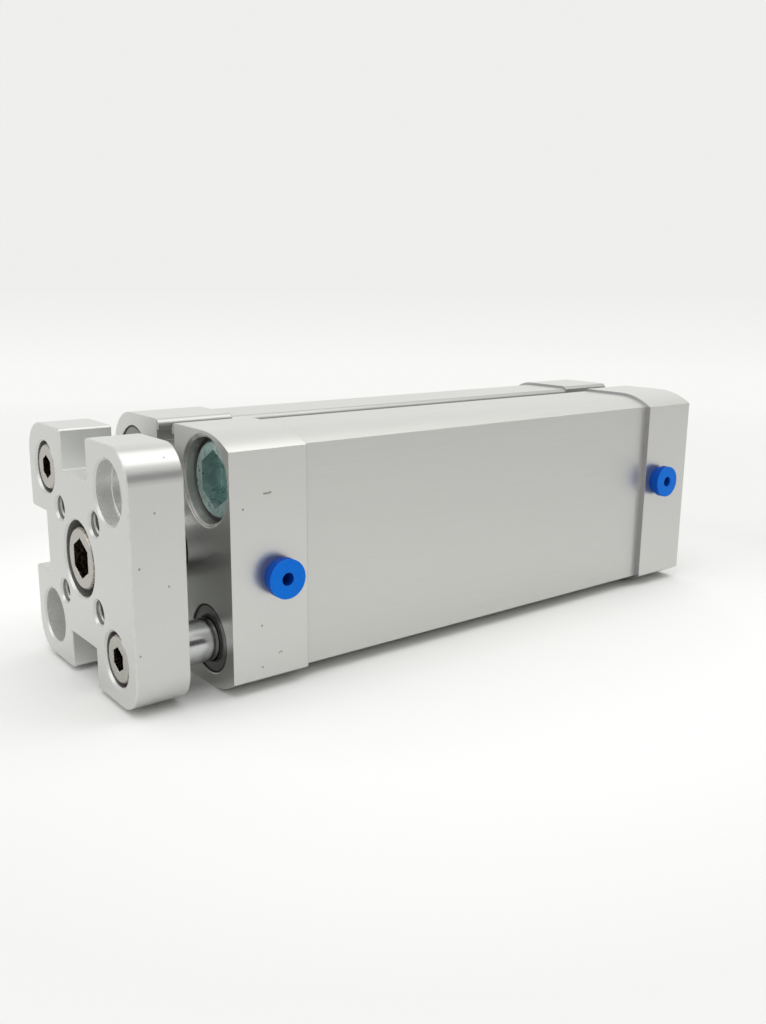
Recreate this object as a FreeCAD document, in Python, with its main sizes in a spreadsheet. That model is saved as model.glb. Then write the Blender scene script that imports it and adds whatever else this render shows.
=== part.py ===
import FreeCAD, Part
import math
import os
from types import SimpleNamespace

import Sketcher

# A compact pneumatic cylinder with two guide rods and a yoke plate. It lies along +X, its origin is the
# centre of the end cap's rear face on the piston axis, its air ports face +Y and +Z is up.

DIMENSIONS = {
    # housing
    "body_length": 97.0,
    "front_cap_length": 11.8,
    "rear_cap_length": 11.6,
    "cap_half": 17.75,
    "barrel_half": 17.3,
    "barrel_side": 16.85,
    "crisp_edge": 15.7,
    "soft_radius": 12.0,
    "corner_radius": 6.0,
    "hole_pitch": 22.0,
    "bore_diameter": 20.0,
    "channel_diameter": 7.0,
    "edge_break": 0.3,
    "fine_edge": 0.15,
    # sensor slots: mouth, wider groove behind the lips, and heights above the axis
    "slot_mouth": 4.2,
    "slot_groove": 5.4,
    "lip_height": 16.2,
    "slot_floor": 14.6,
    "lip_rounding": 1.0,
    # collar screws, which hold the caps and carry the mounting threads
    "collar_bore": 11.8,
    "collar_mouth_chamfer": 0.45,
    "collar_clearance": 8.4,
    "collar_recess": 1.5,
    "collar_head": 10.5,
    "collar_flange": 11.6,
    "collar_head_length": 5.0,
    "collar_flange_length": 4.2,
    "collar_shank": 8.0,
    "collar_shank_length": 13.3,
    "collar_tip": 6.4,
    "collar_tip_length": 1.2,
    "collar_socket": 7.0,
    "collar_socket_depth": 3.0,
    "mounting_core": 4.2,
    "barrel_thread_depth": 8.4,
    # air ports
    "front_port_place": 89.7,
    "front_port_height": -1.7,
    "rear_port_place": 8.0,
    "rear_port_height": 2.1,
    "port_diameter": 4.2,
    "port_depth": 6.0,
    "port_drilling": 2.4,
    "air_way_diameter": 2.0,
    "air_way_offset": 8.2,
    # seals, bumpers and bushes in the caps
    "face_seal_outer": 22.0,
    "face_seal_inner": 20.0,
    "face_seal_depth": 0.9,
    "bumper_outer": 14.4,
    "bumper_inner": 11.0,
    "bumper_seat": 1.0,
    "bumper_thickness": 1.75,
    "rod_bush_outer": 12.0,
    "rod_wiper_outer": 11.0,
    "rod_wiper_length": 2.6,
    "guide_bush_outer": 8.0,
    "guide_wiper_outer": 9.6,
    "guide_wiper_inner": 6.6,
    "guide_wiper_length": 2.0,
    "wiper_recess": 0.2,
    "running_gap": 0.03,
    "stop_gap": 0.05,
    # piston and what it carries
    "piston_length": 12.0,
    "piston_gap": 0.07,
    "piston_hub": 8.0,
    "seal_root": 15.8,
    "seal_width": 1.8,
    "rear_seal_place": 1.0,
    "front_seal_place": 9.2,
    "wear_ring_root": 18.2,
    "wear_ring_width": 2.0,
    "wear_ring_place": 3.6,
    "magnet_root": 15.2,
    "magnet_outer": 19.0,
    "magnet_width": 2.0,
    "magnet_place": 6.4,
    "ring_slit": 0.6,
    # rods and yoke plate
    "rod_diameter": 10.0,
    "rod_thread_depth": 13.0,
    "guide_diameter": 6.0,
    "guide_tail": 24.0,
    "guide_chamfer": 0.6,
    "guide_thread_depth": 11.0,
    "front_gap": 6.0,
    "plate_thickness": 7.4,
    "plate_half": 17.1,
    "plate_radius": 4.5,
    "notch_width": 9.0,
    "notch_depth": 5.6,
    "notch_rounding": 0.45,
    "register_depth": 0.8,
    "yoke_pitch": 12.0,
    "yoke_core": 3.3,
    "access_diameter": 8.0,
    "stepped_mouth": 8.4,
    "stepped_mouth_depth": 2.4,
    "stepped_middle": 7.8,
    "stepped_middle_depth": 3.4,
    "stepped_through": 7.2,
    # yoke plate screws
    "screw_recess": 0.3,
    "rod_screw_bore": 10.6,
    "rod_screw_clearance": 6.4,
    "rod_screw_head": 8.7,
    "rod_screw_head_length": 4.4,
    "rod_screw_shank": 6.0,
    "rod_screw_length": 14.0,
    "rod_screw_socket": 5.0,
    "rod_screw_socket_depth": 2.8,
    "guide_screw_bore": 7.4,
    "guide_screw_clearance": 4.4,
    "guide_screw_head": 6.6,
    "guide_screw_head_length": 4.0,
    "guide_screw_shank": 4.0,
    "guide_screw_length": 12.0,
    "guide_screw_socket": 3.0,
    "guide_screw_socket_depth": 2.2,
    # dust plugs in the ports
    "plug_head": 5.5,
    "plug_head_length": 1.2,
    "plug_neck": 4.8,
    "plug_neck_length": 0.9,
    "plug_shank": 4.1,
    "plug_shank_length": 5.0,
    "plug_hole": 1.85,
    "plug_hole_depth": 4.5,
}

doc = FreeCAD.newDocument("guided_cylinder")
sheet = doc.addObject("Spreadsheet::Sheet", "dims")
for row, (alias, value) in enumerate(DIMENSIONS.items(), start=1):
    sheet.set(f"A{row}", alias)
    sheet.set(f"B{row}", str(value))
    sheet.setAlias(f"B{row}", alias)
doc.recompute()


class Size:
    """A length known both as a number and as the sheet expression that gives it."""

    def __init__(self, text, number):
        self.text = text
        self.number = number

    def __add__(self, other):
        other = as_size(other)
        return Size(f"({self.text} + {other.text})", self.number + other.number)

    def __sub__(self, other):
        other = as_size(other)
        return Size(f"({self.text} - {other.text})", self.number - other.number)

    def __mul__(self, factor):
        return Size(f"({self.text} * {factor})", self.number * factor)

    def __truediv__(self, divisor):
        return Size(f"({self.text} / {divisor})", self.number / divisor)

    def __neg__(self):
        return self * -1


def as_size(value):
    return value if isinstance(value, Size) else Size(str(float(value)), float(value))


D = SimpleNamespace(**{alias: Size(f"dims.{alias}", value) for alias, value in DIMENSIONS.items()})
ZERO = as_size(0)
BEYOND = as_size(1)

BARREL_START = D.rear_cap_length
BARREL_LENGTH = D.body_length - D.front_cap_length - D.rear_cap_length
FRONT_CAP_START = D.body_length - D.front_cap_length
PLATE_BACK = D.body_length + D.front_gap
PLATE_FRONT = PLATE_BACK + D.plate_thickness
ROD_END = PLATE_BACK + D.register_depth
PISTON_START = D.rear_cap_length + D.bumper_thickness - D.bumper_seat + D.stop_gap
PISTON_FRONT = PISTON_START + D.piston_length
HALF_PITCH = D.hole_pitch / 2
UPPER_GUIDE = (-HALF_PITCH, HALF_PITCH)
LOWER_GUIDE = (HALF_PITCH, -HALF_PITCH)
UPPER_COLLAR = (HALF_PITCH, HALF_PITCH)
LOWER_COLLAR = (-HALF_PITCH, -HALF_PITCH)
CORNERS = (UPPER_GUIDE, LOWER_GUIDE, UPPER_COLLAR, LOWER_COLLAR)
CENTRE = ((ZERO, ZERO),)

nodes = []


def bind(thing, name, size):
    thing.setExpression(name, as_size(size).text)


def node(thing, label):
    """Registers a finished sub-part under the name of its file."""
    thing.Label = label
    nodes.append(thing)
    return thing


# ---------------------------------------------------------------- Part primitives

def cylinder(name, diameter, length, x=ZERO, y=ZERO, z=ZERO, along_y=False):
    """A solid cylinder from (x, y, z) along +X, or along +Y."""
    solid = doc.addObject("Part::Cylinder", name)
    bind(solid, "Radius", diameter / 2)
    bind(solid, "Height", length)
    axis, angle = (FreeCAD.Vector(1, 0, 0), -90) if along_y else (FreeCAD.Vector(0, 1, 0), 90)
    solid.Placement.Rotation = FreeCAD.Rotation(axis, angle)
    for place, at in (("x", x), ("y", y), ("z", z)):
        bind(solid, f"Placement.Base.{place}", at)
    return solid


def fused(name, solids):
    joined = doc.addObject("Part::MultiFuse", name)
    joined.Shapes = solids
    return joined


def cut(name, base, tools):
    """The base solid less the tools."""
    result = doc.addObject("Part::Cut", name)
    result.Base = base
    result.Tool = tools[0] if len(tools) == 1 else fused(f"{name}_tools", tools)
    return result


def ring(name, outer, inner, length, x, y=ZERO, z=ZERO):
    body = cylinder(f"{name}_outer", outer, length, x, y, z)
    hole = cylinder(f"{name}_hole", inner, length + BEYOND * 2, x - BEYOND, y, z)
    return cut(name, body, [hole])


def hexagon(name, width, length, x, y, z):
    """A hexagonal prism along +X, its width measured across the flats."""
    solid = doc.addObject("Part::Prism", name)
    solid.Polygon = 6
    bind(solid, "Circumradius", width / math.sqrt(3))
    bind(solid, "Height", length)
    solid.Placement.Rotation = FreeCAD.Rotation(FreeCAD.Vector(0, 1, 0), 90)
    for place, at in (("x", x), ("y", y), ("z", z)):
        bind(solid, f"Placement.Base.{place}", at)
    return solid


def rims(shape, x, radius):
    """The circular edges of this radius in the plane at x, numbered from 1."""
    found = []
    for number, edge in enumerate(shape.Edges, start=1):
        flat = abs(edge.BoundBox.XMax - x) < 1e-4 and abs(edge.BoundBox.XMin - x) < 1e-4
        round_edge = isinstance(edge.Curve, Part.Circle) and abs(edge.Curve.Radius - radius) < 1e-4
        if flat and round_edge:
            found.append(number)
    return found


def chamfered(name, base, x, diameter, width):
    """The base solid with the rim of this diameter at x chamfered."""
    doc.recompute()
    result = doc.addObject("Part::Chamfer", name)
    result.Base = base
    edges = rims(base.Shape, x.number, diameter.number / 2)
    result.Edges = [(number, width.number, width.number) for number in edges]
    return result


def socket_screw(
    name, face, sign, head, head_length, shank, shank_length, socket, socket_depth, at,
    core=None, flange=None, tip=None,
):
    """A socket head screw whose head's face is at x = face; it points to -X, or to +X if sign is 1.

    A flange is the diameter and length of a wider lower part of the head, and a tip those of a thin end.
    """
    y, z = at
    behind = as_size(0) if sign > 0 else head_length
    solid = cylinder(f"{name}_head", head, head_length, face - behind, y, z)
    steps = [chamfered(f"{name}_chamfer", solid, face, head, D.edge_break)]
    seat = face + head_length * sign
    shank_start = seat if sign > 0 else seat - shank_length
    steps.append(cylinder(f"{name}_shank", shank, shank_length, shank_start, y, z))
    if flange is not None:
        wide, deep = flange
        steps.append(cylinder(f"{name}_flange", wide, deep, seat - deep if sign > 0 else seat, y, z))
    length = head_length + shank_length
    if tip is not None:
        thin, reach = tip
        tip_start = face + length if sign > 0 else face - length - reach
        steps.append(cylinder(f"{name}_tip", thin, reach, tip_start, y, z))
        length = length + reach
    body = fused(f"{name}_body", steps)
    socket_start = face if sign > 0 else face - socket_depth
    tools = [hexagon(f"{name}_socket", socket, socket_depth, socket_start, y, z)]
    if core is not None:
        start = face if sign > 0 else face - length
        tools.append(cylinder(f"{name}_core", core, length, start, y, z))
    return cut(name, body, tools)


def group(label, solids):
    """Separate solids of one kind, kept in one node."""
    compound = doc.addObject("Part::Compound", label)
    compound.Links = solids
    return node(compound, label)


# ---------------------------------------------------------------- PartDesign bodies

def new_body(label, x):
    body = doc.addObject("PartDesign::Body", label)
    bind(body, "Placement.Base.x", x)
    doc.recompute()
    return node(body, label)


def origin_feature(body, role):
    return next(feature for feature in body.Origin.OriginFeatures if feature.Role == role)


def sketch_across(body, name, x=ZERO):
    """A sketch across the axis at x of the body: its own axes are +Y and +Z and it faces +X."""
    sketch = body.newObject("Sketcher::SketchObject", name)
    sketch.AttachmentSupport = [(origin_feature(body, "YZ_Plane"), "")]
    sketch.MapMode = "FlatFace"
    bind(sketch, "AttachmentOffset.Base.z", x)
    return sketch


def sketch_on_side(body, name, y):
    """A sketch on the port side at y: its own axes are +X and +Z and it faces -Y."""
    sketch = body.newObject("Sketcher::SketchObject", name)
    sketch.AttachmentSupport = [(origin_feature(body, "XZ_Plane"), "")]
    sketch.MapMode = "FlatFace"
    bind(sketch, "AttachmentOffset.Base.z", -y)
    return sketch


def dimension(sketch, *constraint, size):
    """A driving dimension bound to the sheet."""
    index = sketch.addConstraint(Sketcher.Constraint(*constraint, size.number))
    sketch.setExpression(f"Constraints[{index}]", size.text)


def locate(sketch, edge, point, across, up):
    """Fixes a point of the sketch by its distances from the sketch's origin."""
    for kind, axis, size in (("DistanceX", -2, across), ("DistanceY", -1, up)):
        if abs(size.number) < 1e-9:
            sketch.addConstraint(Sketcher.Constraint("PointOnObject", edge, point, axis))
        elif size.number > 0:
            dimension(sketch, kind, -1, 1, edge, point, size=size)
        else:
            dimension(sketch, kind, edge, point, -1, 1, size=-size)


def vector(across, up):
    return FreeCAD.Vector(as_size(across).number, as_size(up).number, 0)


def circles(sketch, places, diameter):
    for across, up in places:
        circle = Part.Circle(vector(across, up), FreeCAD.Vector(0, 0, 1), diameter.number / 2)
        edge = sketch.addGeometry(circle)
        dimension(sketch, "Diameter", edge, size=diameter)
        locate(sketch, edge, 3, across, up)


def rectangle(sketch, left, right, bottom, top):
    corners = [(left, bottom), (right, bottom), (right, top), (left, top)]
    lines = [
        sketch.addGeometry(Part.LineSegment(vector(*corners[i]), vector(*corners[(i + 1) % 4])))
        for i in range(4)
    ]
    for i, line in enumerate(lines):
        sketch.addConstraint(Sketcher.Constraint("Coincident", line, 2, lines[(i + 1) % 4], 1))
        sketch.addConstraint(Sketcher.Constraint("Horizontal" if i % 2 == 0 else "Vertical", line))
    locate(sketch, lines[0], 1, left, bottom)
    locate(sketch, lines[2], 1, right, top)


def pad(body, name, sketch, length):
    feature = body.newObject("PartDesign::Pad", name)
    feature.Profile = sketch
    bind(feature, "Length", length)
    sketch.Visibility = False
    doc.recompute()
    return feature


def pocket(body, name, sketch, depth, forward):
    """Cuts the sketch towards the way it faces if forward, else the other way, and checks that it cut."""
    before = body.Shape.Volume
    feature = body.newObject("PartDesign::Pocket", name)
    feature.Profile = sketch
    feature.Reversed = forward
    bind(feature, "Length", depth)
    body.Tip = feature
    doc.recompute()
    if body.Shape.Volume > before - 1e-3:
        raise RuntimeError(f"{body.Label}: {name} cuts nothing")
    return feature


def drill(body, name, places, diameter, depth, x=ZERO, forward=True):
    """Round holes along the axis, cut from x towards +X if forward, else towards -X."""
    sketch = sketch_across(body, f"{name}_sketch", x)
    circles(sketch, places, diameter)
    return pocket(body, name, sketch, depth, forward)


def polar(body, name, originals):
    """Repeats the features on the top, on the -Y side and underneath."""
    pattern = body.newObject("PartDesign::PolarPattern", name)
    pattern.Originals = originals
    pattern.Axis = (origin_feature(body, "X_Axis"), [""])
    pattern.Angle = 180
    pattern.Occurrences = 3
    body.Tip = pattern
    doc.recompute()
    return pattern


def dress(body, kind, name, edges, size):
    """A fillet or chamfer on the numbered edges of the body's last feature."""
    base = body.Tip
    feature = body.newObject(f"PartDesign::{kind}", name)
    feature.Base = (base, [f"Edge{number}" for number in edges])
    bind(feature, "Radius" if kind == "Fillet" else "Size", size)
    body.Tip = feature
    doc.recompute()
    return feature


def break_rims(body, name, x, diameters, width):
    """Chamfers the mouths of the round holes of these diameters in the face at x of the body."""
    shape = body.Tip.Shape
    edges = [number for diameter in diameters for number in rims(shape, x.number, diameter.number / 2)]
    dress(body, "Chamfer", name, edges, width)


def housing_outline(sketch, half, side):
    """Rounded corners on the -Y side; wide arcs that end in crisp edges on the flat port side."""
    corner, soft, crisp = D.corner_radius.number, D.soft_radius.number, D.crisp_edge.number
    h, flat = half.number, side.number
    inner = h - corner
    soft_up = h - soft
    soft_angle = math.asin((crisp - soft_up) / soft)
    soft_out = flat - soft * math.cos(soft_angle)
    facing = FreeCAD.Vector(0, 0, 1)

    def line(start, end):
        return sketch.addGeometry(Part.LineSegment(vector(*start), vector(*end)))

    def arc(centre, radius, start, end):
        circle = Part.Circle(vector(*centre), facing, radius)
        return sketch.addGeometry(Part.ArcOfCircle(circle, start, end))

    top = line((-inner, h), (soft_out, h))
    upper_soft = arc((soft_out, soft_up), soft, soft_angle, math.pi / 2)
    port_side = line((flat, crisp), (flat, -crisp))
    lower_soft = arc((soft_out, -soft_up), soft, -math.pi / 2, -soft_angle)
    bottom = line((soft_out, -h), (-inner, -h))
    lower_corner = arc((-inner, -inner), corner, math.pi, 1.5 * math.pi)
    far_side = line((-h, -inner), (-h, inner))
    upper_corner = arc((-inner, inner), corner, math.pi / 2, math.pi)
    for joint in (
        (top, 2, upper_soft, 2),
        (lower_soft, 1, bottom, 1),
        (bottom, 2, lower_corner, 2),
        (lower_corner, 1, far_side, 1),
        (far_side, 2, upper_corner, 2),
        (upper_corner, 1, top, 1),
    ):
        sketch.addConstraint(Sketcher.Constraint("Tangent", *joint))
    sketch.addConstraint(Sketcher.Constraint("Coincident", upper_soft, 1, port_side, 1))
    sketch.addConstraint(Sketcher.Constraint("Coincident", port_side, 2, lower_soft, 2))
    for edge in (top, bottom):
        sketch.addConstraint(Sketcher.Constraint("Horizontal", edge))
    for edge in (port_side, far_side):
        sketch.addConstraint(Sketcher.Constraint("Vertical", edge))
    for edge, radius in (
        (upper_soft, D.soft_radius),
        (lower_soft, D.soft_radius),
        (upper_corner, D.corner_radius),
        (lower_corner, D.corner_radius),
    ):
        dimension(sketch, "Radius", edge, size=radius)
    dimension(sketch, "DistanceY", -1, 1, top, 1, size=half)
    dimension(sketch, "DistanceY", bottom, 1, -1, 1, size=half)
    dimension(sketch, "DistanceX", far_side, 1, -1, 1, size=half)
    dimension(sketch, "DistanceX", -1, 1, port_side, 1, size=side)
    dimension(sketch, "DistanceY", -1, 1, port_side, 1, size=D.crisp_edge)
    dimension(sketch, "DistanceY", port_side, 2, -1, 1, size=D.crisp_edge)


def housing_blank(label, x, length, half, side):
    """A length of the housing section with its three sensor slots."""
    body = new_body(label, x)
    outline = sketch_across(body, f"{label}_outline")
    housing_outline(outline, half, side)
    pad(body, f"{label}_pad", outline, length)
    mouth = sketch_across(body, f"{label}_slot_mouth")
    rectangle(mouth, -D.slot_mouth / 2, D.slot_mouth / 2, D.slot_floor, half + BEYOND)
    mouth_cut = pocket(body, f"{label}_mouth_cut", mouth, length, forward=True)
    groove = sketch_across(body, f"{label}_slot_groove")
    rectangle(groove, -D.slot_groove / 2, D.slot_groove / 2, D.slot_floor, D.lip_height)
    groove_cut = pocket(body, f"{label}_groove_cut", groove, length, forward=True)
    polar(body, f"{label}_slots", [mouth_cut, groove_cut])
    lips = mouth_edges(body.Tip.Shape, half.number, D.slot_mouth.number / 2)
    dress(body, "Fillet", f"{label}_lips", lips, D.lip_rounding)
    return body


def mouth_edges(shape, half, mouth):
    """The edges along the axis where slots or notches of this half width break through the surface."""
    found = []
    for number, edge in enumerate(shape.Edges, start=1):
        middle = edge.BoundBox.Center
        near, far = sorted((abs(middle.y), abs(middle.z)))
        straight = edge.BoundBox.YLength < 1e-6 and edge.BoundBox.ZLength < 1e-6
        if straight and abs(near - mouth) < 1e-4 and abs(far - half) < 1e-4:
            found.append(number)
    return found


def air_port(body, name, place, height, air_way_start, air_way_length, forward):
    """A port in the +Y side, drilled on to the air way that opens in the cap's inner face."""
    mouth = sketch_on_side(body, f"{name}_port_sketch", D.cap_half)
    circles(mouth, ((place, height),), D.port_diameter)
    pocket(body, f"{name}_port", mouth, D.port_depth, forward=True)
    drilling = sketch_on_side(body, f"{name}_drilling_sketch", D.cap_half)
    circles(drilling, ((place, height),), D.port_drilling)
    depth = D.cap_half - D.air_way_offset + D.air_way_diameter * 0.75
    pocket(body, f"{name}_drilling", drilling, depth, forward=True)
    way = ((D.air_way_offset, height),)
    drill(body, f"{name}_air_way", way, D.air_way_diameter, air_way_length, air_way_start, forward)


def face_seal_groove(body, name, x, forward):
    sketch = sketch_across(body, f"{name}_sketch", x)
    circles(sketch, CENTRE, D.face_seal_outer)
    circles(sketch, CENTRE, D.face_seal_inner)
    pocket(body, name, sketch, D.face_seal_depth, forward)


# ---------------------------------------------------------------- housing

def make_barrel():
    body = housing_blank("barrel", BARREL_START, BARREL_LENGTH, D.barrel_half, D.barrel_side)
    drill(body, "piston_bore", CENTRE, D.bore_diameter, BARREL_LENGTH)
    drill(body, "corner_channels", CORNERS, D.channel_diameter, BARREL_LENGTH)
    drill(body, "rear_threads", CORNERS, D.collar_shank, D.barrel_thread_depth)
    front = (UPPER_COLLAR, LOWER_COLLAR)
    drill(body, "front_threads", front, D.collar_shank, D.barrel_thread_depth, BARREL_LENGTH, forward=False)


def make_bearing_cap():
    length = D.front_cap_length
    body = housing_blank("bearing_cap", FRONT_CAP_START, length, D.cap_half, D.cap_half)
    collars = (UPPER_COLLAR, LOWER_COLLAR)
    guides = (UPPER_GUIDE, LOWER_GUIDE)
    rod_wiper_depth = D.rod_wiper_length + D.wiper_recess
    drill(body, "rod_bush_bore", CENTRE, D.rod_bush_outer, length - rod_wiper_depth)
    drill(body, "rod_wiper_seat", CENTRE, D.rod_wiper_outer, rod_wiper_depth, length, False)
    drill(body, "bumper_seat", CENTRE, D.bumper_outer, D.bumper_seat)
    drill(body, "guide_bush_bores", guides, D.guide_bush_outer, length)
    wiper_depth = D.guide_wiper_length + D.wiper_recess
    drill(body, "guide_wiper_seats", guides, D.guide_wiper_outer, wiper_depth, length, False)
    drill(body, "collar_clearances", collars, D.collar_clearance, length)
    drill(body, "collar_bores", collars, D.collar_bore, D.collar_recess + D.collar_head_length, length, False)
    face_seal_groove(body, "front_seal_groove", ZERO, forward=True)
    place = D.front_port_place - FRONT_CAP_START
    air_port(body, "front", place, D.front_port_height, ZERO, place, forward=True)
    break_rims(body, "collar_mouths", length, (D.collar_bore,), D.collar_mouth_chamfer)
    break_rims(body, "wiper_mouths", length, (D.guide_wiper_outer, D.rod_wiper_outer), D.fine_edge)


def make_end_cap():
    length = D.rear_cap_length
    body = housing_blank("end_cap", ZERO, length, D.cap_half, D.cap_half)
    drill(body, "rear_bumper_seat", CENTRE, D.bumper_outer, D.bumper_seat, length, False)
    drill(body, "rear_clearances", CORNERS, D.collar_clearance, length)
    drill(body, "rear_collar_bores", CORNERS, D.collar_bore, D.collar_recess + D.collar_head_length)
    face_seal_groove(body, "rear_seal_groove", length, forward=False)
    way_length = length - D.rear_port_place
    air_port(body, "rear", D.rear_port_place, D.rear_port_height, length, way_length, forward=False)
    break_rims(body, "rear_collar_mouths", ZERO, (D.collar_bore,), D.collar_mouth_chamfer)


def collar_screw(name, face, sign, at):
    return socket_screw(
        name, face, sign, D.collar_head, D.collar_head_length, D.collar_shank, D.collar_shank_length,
        D.collar_socket, D.collar_socket_depth, at, D.mounting_core,
        flange=(D.collar_flange, D.collar_flange_length), tip=(D.collar_tip, D.collar_tip_length),
    )


def make_collar_screws():
    front_face = D.body_length - D.collar_recess
    front = [
        collar_screw(f"front_collar_{i}", front_face, -1, at)
        for i, at in enumerate((UPPER_COLLAR, LOWER_COLLAR))
    ]
    group("front_collar_screws", front)
    rear = [collar_screw(f"rear_collar_{i}", D.collar_recess, 1, at) for i, at in enumerate(CORNERS)]
    group("rear_collar_screws", rear)


def make_cap_seals():
    depth = D.face_seal_depth
    node(ring("rear_seal", D.face_seal_outer, D.face_seal_inner, depth, BARREL_START - depth), "rear_cap_seal")
    node(ring("front_seal", D.face_seal_outer, D.face_seal_inner, depth, FRONT_CAP_START), "front_cap_seal")


def make_bumpers():
    thickness = D.bumper_thickness
    rear = D.rear_cap_length - D.bumper_seat
    node(ring("rear_pad", D.bumper_outer, D.bumper_inner, thickness, rear), "rear_bumper")
    front = FRONT_CAP_START + D.bumper_seat - thickness
    node(ring("front_pad", D.bumper_outer, D.bumper_inner, thickness, front), "front_bumper")


def make_bushes_and_wipers():
    running = D.running_gap * 2
    start = FRONT_CAP_START + D.bumper_seat
    wiper_start = D.body_length - D.wiper_recess - D.rod_wiper_length
    rod_bore = D.rod_diameter + running
    node(ring("rod_bush_ring", D.rod_bush_outer, rod_bore, wiper_start - start, start), "rod_bush")
    wiper = ring("rod_wiper_ring", D.rod_wiper_outer, rod_bore, D.rod_wiper_length, wiper_start)
    node(wiper, "rod_wiper")
    guide_wiper_start = D.body_length - D.wiper_recess - D.guide_wiper_length
    bush_length = guide_wiper_start - FRONT_CAP_START
    for which, (y, z) in (("upper", UPPER_GUIDE), ("lower", LOWER_GUIDE)):
        bore = D.guide_diameter + running
        bush = ring(f"{which}_bush", D.guide_bush_outer, bore, bush_length, FRONT_CAP_START, y, z)
        node(bush, f"guide_bush_{which}")
        guide_wiper = ring(
            f"{which}_wiper", D.guide_wiper_outer, D.guide_wiper_inner, D.guide_wiper_length,
            guide_wiper_start, y, z,
        )
        node(guide_wiper, f"guide_wiper_{which}")


# ---------------------------------------------------------------- piston and rods

def piston_diameter():
    return D.bore_diameter - D.piston_gap * 2


def make_piston():
    blank = cylinder("piston_blank", piston_diameter(), D.piston_length, PISTON_START)
    tools = [cylinder("piston_hub_bore", D.piston_hub, D.piston_length, PISTON_START)]
    wide = D.bore_diameter + BEYOND
    for name, root, width, place in (
        ("rear_seal_groove_tool", D.seal_root, D.seal_width, D.rear_seal_place),
        ("front_seal_groove_tool", D.seal_root, D.seal_width, D.front_seal_place),
        ("wear_ring_groove_tool", D.wear_ring_root, D.wear_ring_width, D.wear_ring_place),
        ("magnet_groove_tool", D.magnet_root, D.magnet_width, D.magnet_place),
    ):
        tools.append(ring(name, wide, root, width, PISTON_START + place))
    node(cut("piston_turned", blank, tools), "piston")


def slit_ring(name, outer, inner, width, place):
    """A ring with a narrow slit at the top, so that it can be sprung over the piston."""
    whole = ring(f"{name}_whole", outer, inner, width, PISTON_START + place)
    slit = doc.addObject("Part::Box", f"{name}_slit")
    bind(slit, "Length", width + BEYOND * 2)
    bind(slit, "Width", D.ring_slit)
    bind(slit, "Height", outer)
    bind(slit, "Placement.Base.x", PISTON_START + place - BEYOND)
    bind(slit, "Placement.Base.y", -D.ring_slit / 2)
    return cut(name, whole, [slit])


def make_piston_rings():
    sliding = D.bore_diameter - D.running_gap * 2
    for which, place in (("rear", D.rear_seal_place), ("front", D.front_seal_place)):
        seal = ring(f"{which}_piston_ring", sliding, D.seal_root, D.seal_width, PISTON_START + place)
        node(seal, f"piston_seal_{which}")
    wear = slit_ring("wear_band", sliding, D.wear_ring_root, D.wear_ring_width, D.wear_ring_place)
    node(wear, "wear_ring")
    magnet = slit_ring("magnet_band", D.magnet_outer, D.magnet_root, D.magnet_width, D.magnet_place)
    node(magnet, "magnet_ring")


def make_piston_rod():
    stub = cylinder("rod_stub", D.piston_hub, D.piston_length, PISTON_START)
    shaft = cylinder("rod_shaft", D.rod_diameter, ROD_END - PISTON_FRONT, PISTON_FRONT)
    thread_start = ROD_END - D.rod_thread_depth
    thread = cylinder("rod_thread", D.rod_screw_shank, D.rod_thread_depth, thread_start)
    node(cut("rod_turned", fused("rod_blank", [stub, shaft]), [thread]), "piston_rod")


def make_guide_rods():
    for which, (y, z) in (("upper", UPPER_GUIDE), ("lower", LOWER_GUIDE)):
        shaft = cylinder(f"{which}_shaft", D.guide_diameter, ROD_END - D.guide_tail, D.guide_tail, y, z)
        shaft = chamfered(f"{which}_tail", shaft, D.guide_tail, D.guide_diameter, D.guide_chamfer)
        start = ROD_END - D.guide_thread_depth
        thread = cylinder(f"{which}_thread", D.guide_screw_shank, D.guide_thread_depth, start, y, z)
        node(cut(f"{which}_guide", shaft, [thread]), f"guide_rod_{which}")


# ---------------------------------------------------------------- yoke plate

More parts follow.
